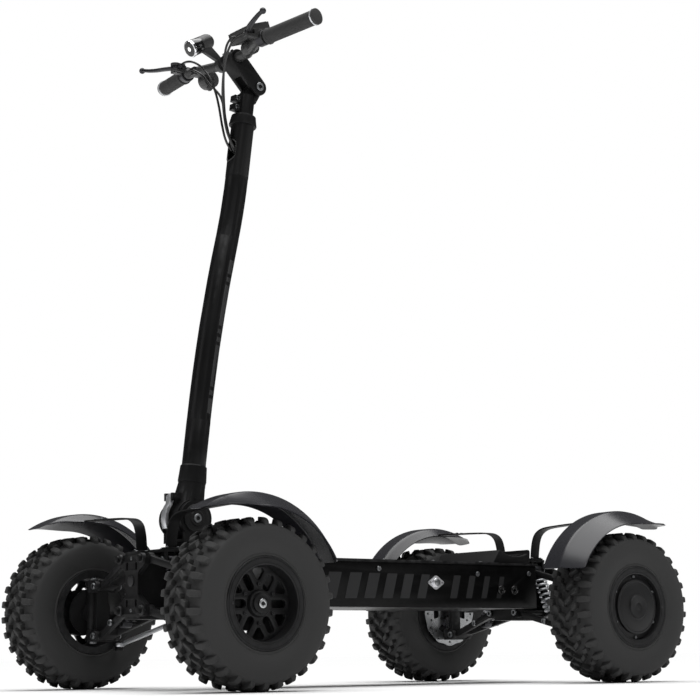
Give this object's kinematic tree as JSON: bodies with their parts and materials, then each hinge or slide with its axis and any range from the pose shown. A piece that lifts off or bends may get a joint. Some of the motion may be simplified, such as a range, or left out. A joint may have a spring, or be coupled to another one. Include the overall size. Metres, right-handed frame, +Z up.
{
  "type": "four-wheel stand-on electric board",
  "caption": "Low four-wheel stand-on electric board with a folding steering stem, handlebar, knobby tyres, fenders and wishbone suspension.",
  "frame": {"origin": "on the ground plane, midway between the axles and on the board's middle plane", "axes": "+X forward, +Y to the rider's left, +Z up"},
  "size_m": [1.33, 0.796, 1.441],
  "materials": {
    "tyre_rubber": "matte",
    "rim_black": "satin",
    "spring_steel": "satin",
    "bright_steel": "satin",
    "fender_plastic": "semi-gloss",
    "grip_rubber": "matte",
    "cable_jacket": "gloss",
    "pad_plastic": "matte",
    "control_plastic": "satin",
    "battery_case": "matte",
    "port_aluminium": "bright",
    "deck_black": "satin",
    "lamp_black": "gloss",
    "lever_black": "satin",
    "frame_black": "satin"
  },
  "bodies": {
    "chassis": {"deck_tray": "deck_black", "deck_lid": "deck_black", "kick_pad": "pad_plastic", "power_pack": "battery_case", "deck_fittings": "port_aluminium", "front_bulkhead": "frame_black", "rear_bulkhead": "frame_black", "front_fenders": "fender_plastic", "rear_fenders": "fender_plastic"},
    "steering_post": {"steering_post": "frame_black"},
    "stem": {"stem_base": "frame_black", "stem_tube": "frame_black"},
    "fold_latch": {"fold_latch": "bright_steel"},
    "handlebar": {"riser": "frame_black", "handlebar": "frame_black", "grips": "grip_rubber", "bar_controls": "control_plastic", "control_cables": "cable_jacket"},
    "brake_lever_left": {"brake_lever_left": "lever_black"},
    "brake_lever_right": {"brake_lever_right": "lever_black"},
    "thumb_throttle": {"thumb_throttle": "pad_plastic"},
    "headlight": {"headlight": "lamp_black"},
    "lower_arm_fl": {"lower_arm_fl": "frame_black"},
    "upper_arm_fl": {"upper_arm_fl": "frame_black"},
    "carrier_fl": {"carrier_fl": "frame_black"},
    "damper_body_fl": {"damper_body_fl": "frame_black", "spring_fl": "spring_steel"},
    "damper_rod_fl": {"damper_rod_fl": "bright_steel"},
    "knuckle_fl": {"knuckle_fl": "frame_black"},
    "rod_end_fl": {"rod_end_fl": "frame_black"},
    "tie_rod_fl": {"tie_rod_fl": "bright_steel"},
    "wheel_fl": {"wheel_fl": "rim_black", "tyre_fl": "tyre_rubber"},
    "lower_arm_fr": {"lower_arm_fr": "frame_black"},
    "upper_arm_fr": {"upper_arm_fr": "frame_black"},
    "carrier_fr": {"carrier_fr": "frame_black"},
    "damper_body_fr": {"damper_body_fr": "frame_black", "spring_fr": "spring_steel"},
    "damper_rod_fr": {"damper_rod_fr": "bright_steel"},
    "knuckle_fr": {"knuckle_fr": "frame_black"},
    "rod_end_fr": {"rod_end_fr": "frame_black"},
    "tie_rod_fr": {"tie_rod_fr": "bright_steel"},
    "wheel_fr": {"wheel_fr": "rim_black", "tyre_fr": "tyre_rubber"},
    "lower_arm_rl": {"lower_arm_rl": "frame_black"},
    "upper_arm_rl": {"upper_arm_rl": "frame_black"},
    "upright_rl": {"upright_rl": "frame_black"},
    "damper_body_rl": {"damper_body_rl": "frame_black", "spring_rl": "spring_steel"},
    "damper_rod_rl": {"damper_rod_rl": "bright_steel"},
    "wheel_rl": {"wheel_rl": "rim_black", "tyre_rl": "tyre_rubber"},
    "lower_arm_rr": {"lower_arm_rr": "frame_black"},
    "upper_arm_rr": {"upper_arm_rr": "frame_black"},
    "upright_rr": {"upright_rr": "frame_black"},
    "damper_body_rr": {"damper_body_rr": "frame_black", "spring_rr": "spring_steel"},
    "damper_rod_rr": {"damper_rod_rr": "bright_steel"},
    "wheel_rr": {"wheel_rr": "rim_black", "tyre_rr": "tyre_rubber"}
  },
  "joints": [
    {"name": "steering", "type": "hinge", "parent": "chassis", "child": "steering_post", "pos_m": [0.436, 0, 0.2], "axis": [0, 0, 1], "range_deg": [-25, 25]},
    {"name": "stem_fold", "type": "hinge", "parent": "steering_post", "child": "stem", "pos_m": [0.435, 0, 0.35], "axis": [0, -1, 0], "range_deg": [0, 75]},
    {"name": "fold_latch", "type": "hinge", "parent": "stem", "child": "fold_latch", "pos_m": [0.471, 0, 0.396], "axis": [0, -1, 0], "range_deg": [0, 60]},
    {"name": "bar_angle", "type": "hinge", "parent": "stem", "child": "handlebar", "pos_m": [0.258, 0, 1.318], "axis": [0, -1, 0], "range_deg": [-15, 25], "deforming": ["control_cables"]},
    {"name": "brake_lever_left", "type": "hinge", "parent": "handlebar", "child": "brake_lever_left", "pos_m": [0.372, 0.148, 1.386], "axis": [0, 0, 1], "range_deg": [0, 22], "stiffness_Nm_per_rad": 0.8, "springref_deg": -5.73},
    {"name": "brake_lever_right", "type": "hinge", "parent": "handlebar", "child": "brake_lever_right", "pos_m": [0.372, -0.148, 1.386], "axis": [0, 0, -1], "range_deg": [0, 22], "stiffness_Nm_per_rad": 0.8, "springref_deg": -5.73},
    {"name": "thumb_throttle", "type": "hinge", "parent": "handlebar", "child": "thumb_throttle", "pos_m": [0.302, -0.109, 1.362], "axis": [0, -1, 0], "range_deg": [0, 40], "stiffness_Nm_per_rad": 0.15, "springref_deg": -8.59},
    {"name": "headlight", "type": "hinge", "parent": "handlebar", "child": "headlight", "pos_m": [0.314, -0.047, 1.376], "axis": [0, 1, 0], "range_deg": [-15, 20]},
    {"name": "suspension_fl", "type": "hinge", "parent": "chassis", "child": "lower_arm_fl", "pos_m": [0.505, 0.043, 0.161], "axis": [1, 0, 0], "range_deg": [-7, 7], "stiffness_Nm_per_rad": 420, "springref_deg": -1.6},
    {"name": "upper_arm_fl", "type": "hinge", "parent": "chassis", "child": "upper_arm_fl", "pos_m": [0.505, 0.043, 0.266], "axis": [1, 0, 0], "range_deg": [-7, 7]},
    {"name": "carrier_fl", "type": "hinge", "parent": "lower_arm_fl", "child": "carrier_fl", "pos_m": [0.5, 0.213, 0.113], "axis": [1, 0, 0], "range_deg": [-7, 7]},
    {"name": "damper_tilt_fl", "type": "hinge", "parent": "chassis", "child": "damper_body_fl", "pos_m": [0.505, 0.06, 0.262], "axis": [1, 0, 0], "range_deg": [-6, 6]},
    {"name": "damper_slide_fl", "type": "slide", "parent": "damper_body_fl", "child": "damper_rod_fl", "axis": [0, 0.4501, -0.893], "range_m": [-0.016, 0.011], "deforming": ["spring_fl"]},
    {"name": "knuckle_fl", "type": "hinge", "parent": "carrier_fl", "child": "knuckle_fl", "pos_m": [0.5, 0.27, 0.165], "axis": [0, 0, 1], "range_deg": [-25, 25]},
    {"name": "rod_end_fl", "type": "hinge", "parent": "steering_post", "child": "rod_end_fl", "pos_m": [0.384, -0.028, 0.12824], "axis": [0, 0, 1], "range_deg": [-25, 25]},
    {"name": "tie_rod_fl", "type": "hinge", "parent": "rod_end_fl", "child": "tie_rod_fl", "pos_m": [0.384, -0.028, 0.12824], "axis": [1, 0, 0], "range_deg": [-8, 9]},
    {"name": "wheel_fl", "type": "hinge", "parent": "knuckle_fl", "child": "wheel_fl", "pos_m": [0.5, 0.328, 0.165], "axis": [0, 1, 0], "continuous": true},
    {"name": "suspension_fr", "type": "hinge", "parent": "chassis", "child": "lower_arm_fr", "pos_m": [0.505, -0.043, 0.161], "axis": [-1, 0, 0], "range_deg": [-7, 7], "stiffness_Nm_per_rad": 420, "springref_deg": -1.6},
    {"name": "upper_arm_fr", "type": "hinge", "parent": "chassis", "child": "upper_arm_fr", "pos_m": [0.505, -0.043, 0.266], "axis": [-1, 0, 0], "range_deg": [-7, 7]},
    {"name": "carrier_fr", "type": "hinge", "parent": "lower_arm_fr", "child": "carrier_fr", "pos_m": [0.5, -0.213, 0.113], "axis": [-1, 0, 0], "range_deg": [-7, 7]},
    {"name": "damper_tilt_fr", "type": "hinge", "parent": "chassis", "child": "damper_body_fr", "pos_m": [0.505, -0.06, 0.262], "axis": [-1, 0, 0], "range_deg": [-6, 6]},
    {"name": "damper_slide_fr", "type": "slide", "parent": "damper_body_fr", "child": "damper_rod_fr", "axis": [0, -0.4501, -0.893], "range_m": [-0.016, 0.011], "deforming": ["spring_fr"]},
    {"name": "knuckle_fr", "type": "hinge", "parent": "carrier_fr", "child": "knuckle_fr", "pos_m": [0.5, -0.27, 0.165], "axis": [0, 0, 1], "range_deg": [-25, 25]},
    {"name": "rod_end_fr", "type": "hinge", "parent": "steering_post", "child": "rod_end_fr", "pos_m": [0.384, 0.028, 0.17024], "axis": [0, 0, 1], "range_deg": [-25, 25]},
    {"name": "tie_rod_fr", "type": "hinge", "parent": "rod_end_fr", "child": "tie_rod_fr", "pos_m": [0.384, 0.028, 0.17024], "axis": [-1, 0, 0], "range_deg": [-8, 9]},
    {"name": "wheel_fr", "type": "hinge", "parent": "knuckle_fr", "child": "wheel_fr", "pos_m": [0.5, -0.328, 0.165], "axis": [0, 1, 0], "continuous": true},
    {"name": "suspension_rl", "type": "hinge", "parent": "chassis", "child": "lower_arm_rl", "pos_m": [-0.505, 0.043, 0.161], "axis": [1, 0, 0], "range_deg": [-7, 7], "stiffness_Nm_per_rad": 420, "springref_deg": -1.6},
    {"name": "upper_arm_rl", "type": "hinge", "parent": "chassis", "child": "upper_arm_rl", "pos_m": [-0.505, 0.043, 0.266], "axis": [1, 0, 0], "range_deg": [-7, 7]},
    {"name": "upright_rl", "type": "hinge", "parent": "lower_arm_rl", "child": "upright_rl", "pos_m": [-0.5, 0.213, 0.113], "axis": [1, 0, 0], "range_deg": [-7, 7]},
    {"name": "damper_tilt_rl", "type": "hinge", "parent": "chassis", "child": "damper_body_rl", "pos_m": [-0.505, 0.06, 0.262], "axis": [1, 0, 0], "range_deg": [-6, 6]},
    {"name": "damper_slide_rl", "type": "slide", "parent": "damper_body_rl", "child": "damper_rod_rl", "axis": [0, 0.4501, -0.893], "range_m": [-0.016, 0.011], "deforming": ["spring_rl"]},
    {"name": "wheel_rl", "type": "hinge", "parent": "upright_rl", "child": "wheel_rl", "pos_m": [-0.5, 0.328, 0.165], "axis": [0, 1, 0], "continuous": true},
    {"name": "suspension_rr", "type": "hinge", "parent": "chassis", "child": "lower_arm_rr", "pos_m": [-0.505, -0.043, 0.161], "axis": [-1, 0, 0], "range_deg": [-7, 7], "stiffness_Nm_per_rad": 420, "springref_deg": -1.6},
    {"name": "upper_arm_rr", "type": "hinge", "parent": "chassis", "child": "upper_arm_rr", "pos_m": [-0.505, -0.043, 0.266], "axis": [-1, 0, 0], "range_deg": [-7, 7]},
    {"name": "upright_rr", "type": "hinge", "parent": "lower_arm_rr", "child": "upright_rr", "pos_m": [-0.5, -0.213, 0.113], "axis": [-1, 0, 0], "range_deg": [-7, 7]},
    {"name": "damper_tilt_rr", "type": "hinge", "parent": "chassis", "child": "damper_body_rr", "pos_m": [-0.505, -0.06, 0.262], "axis": [-1, 0, 0], "range_deg": [-6, 6]},
    {"name": "damper_slide_rr", "type": "slide", "parent": "damper_body_rr", "child": "damper_rod_rr", "axis": [0, -0.4501, -0.893], "range_m": [-0.016, 0.011], "deforming": ["spring_rr"]},
    {"name": "wheel_rr", "type": "hinge", "parent": "upright_rr", "child": "wheel_rr", "pos_m": [-0.5, -0.328, 0.165], "axis": [0, 1, 0], "continuous": true}
  ],
  "couplings": [
    {"joint": "upper_arm_fl", "follows": "suspension_fl", "ratio": 1},
    {"joint": "carrier_fl", "follows": "suspension_fl", "ratio": -1},
    {"joint": "damper_tilt_fl", "follows": "suspension_fl", "ratio": 0.4005},
    {"joint": "damper_slide_fl", "follows": "suspension_fl", "m_per_rad": -0.06062},
    {"joint": "knuckle_fl", "follows": "steering", "ratio": 1},
    {"joint": "rod_end_fl", "follows": "steering", "ratio": -1},
    {"joint": "tie_rod_fl", "follows": "suspension_fl", "ratio": 0.6296},
    {"joint": "upper_arm_fr", "follows": "suspension_fr", "ratio": 1},
    {"joint": "carrier_fr", "follows": "suspension_fr", "ratio": -1},
    {"joint": "damper_tilt_fr", "follows": "suspension_fr", "ratio": 0.4005},
    {"joint": "damper_slide_fr", "follows": "suspension_fr", "m_per_rad": -0.06062},
    {"joint": "knuckle_fr", "follows": "steering", "ratio": 1},
    {"joint": "rod_end_fr", "follows": "steering", "ratio": -1},
    {"joint": "tie_rod_fr", "follows": "suspension_fr", "ratio": 0.6296},
    {"joint": "upper_arm_rl", "follows": "suspension_rl", "ratio": 1},
    {"joint": "upright_rl", "follows": "suspension_rl", "ratio": -1},
    {"joint": "damper_tilt_rl", "follows": "suspension_rl", "ratio": 0.4005},
    {"joint": "damper_slide_rl", "follows": "suspension_rl", "m_per_rad": -0.06062},
    {"joint": "upper_arm_rr", "follows": "suspension_rr", "ratio": 1},
    {"joint": "upright_rr", "follows": "suspension_rr", "ratio": -1},
    {"joint": "damper_tilt_rr", "follows": "suspension_rr", "ratio": 0.4005},
    {"joint": "damper_slide_rr", "follows": "suspension_rr", "m_per_rad": -0.06062}
  ]
}
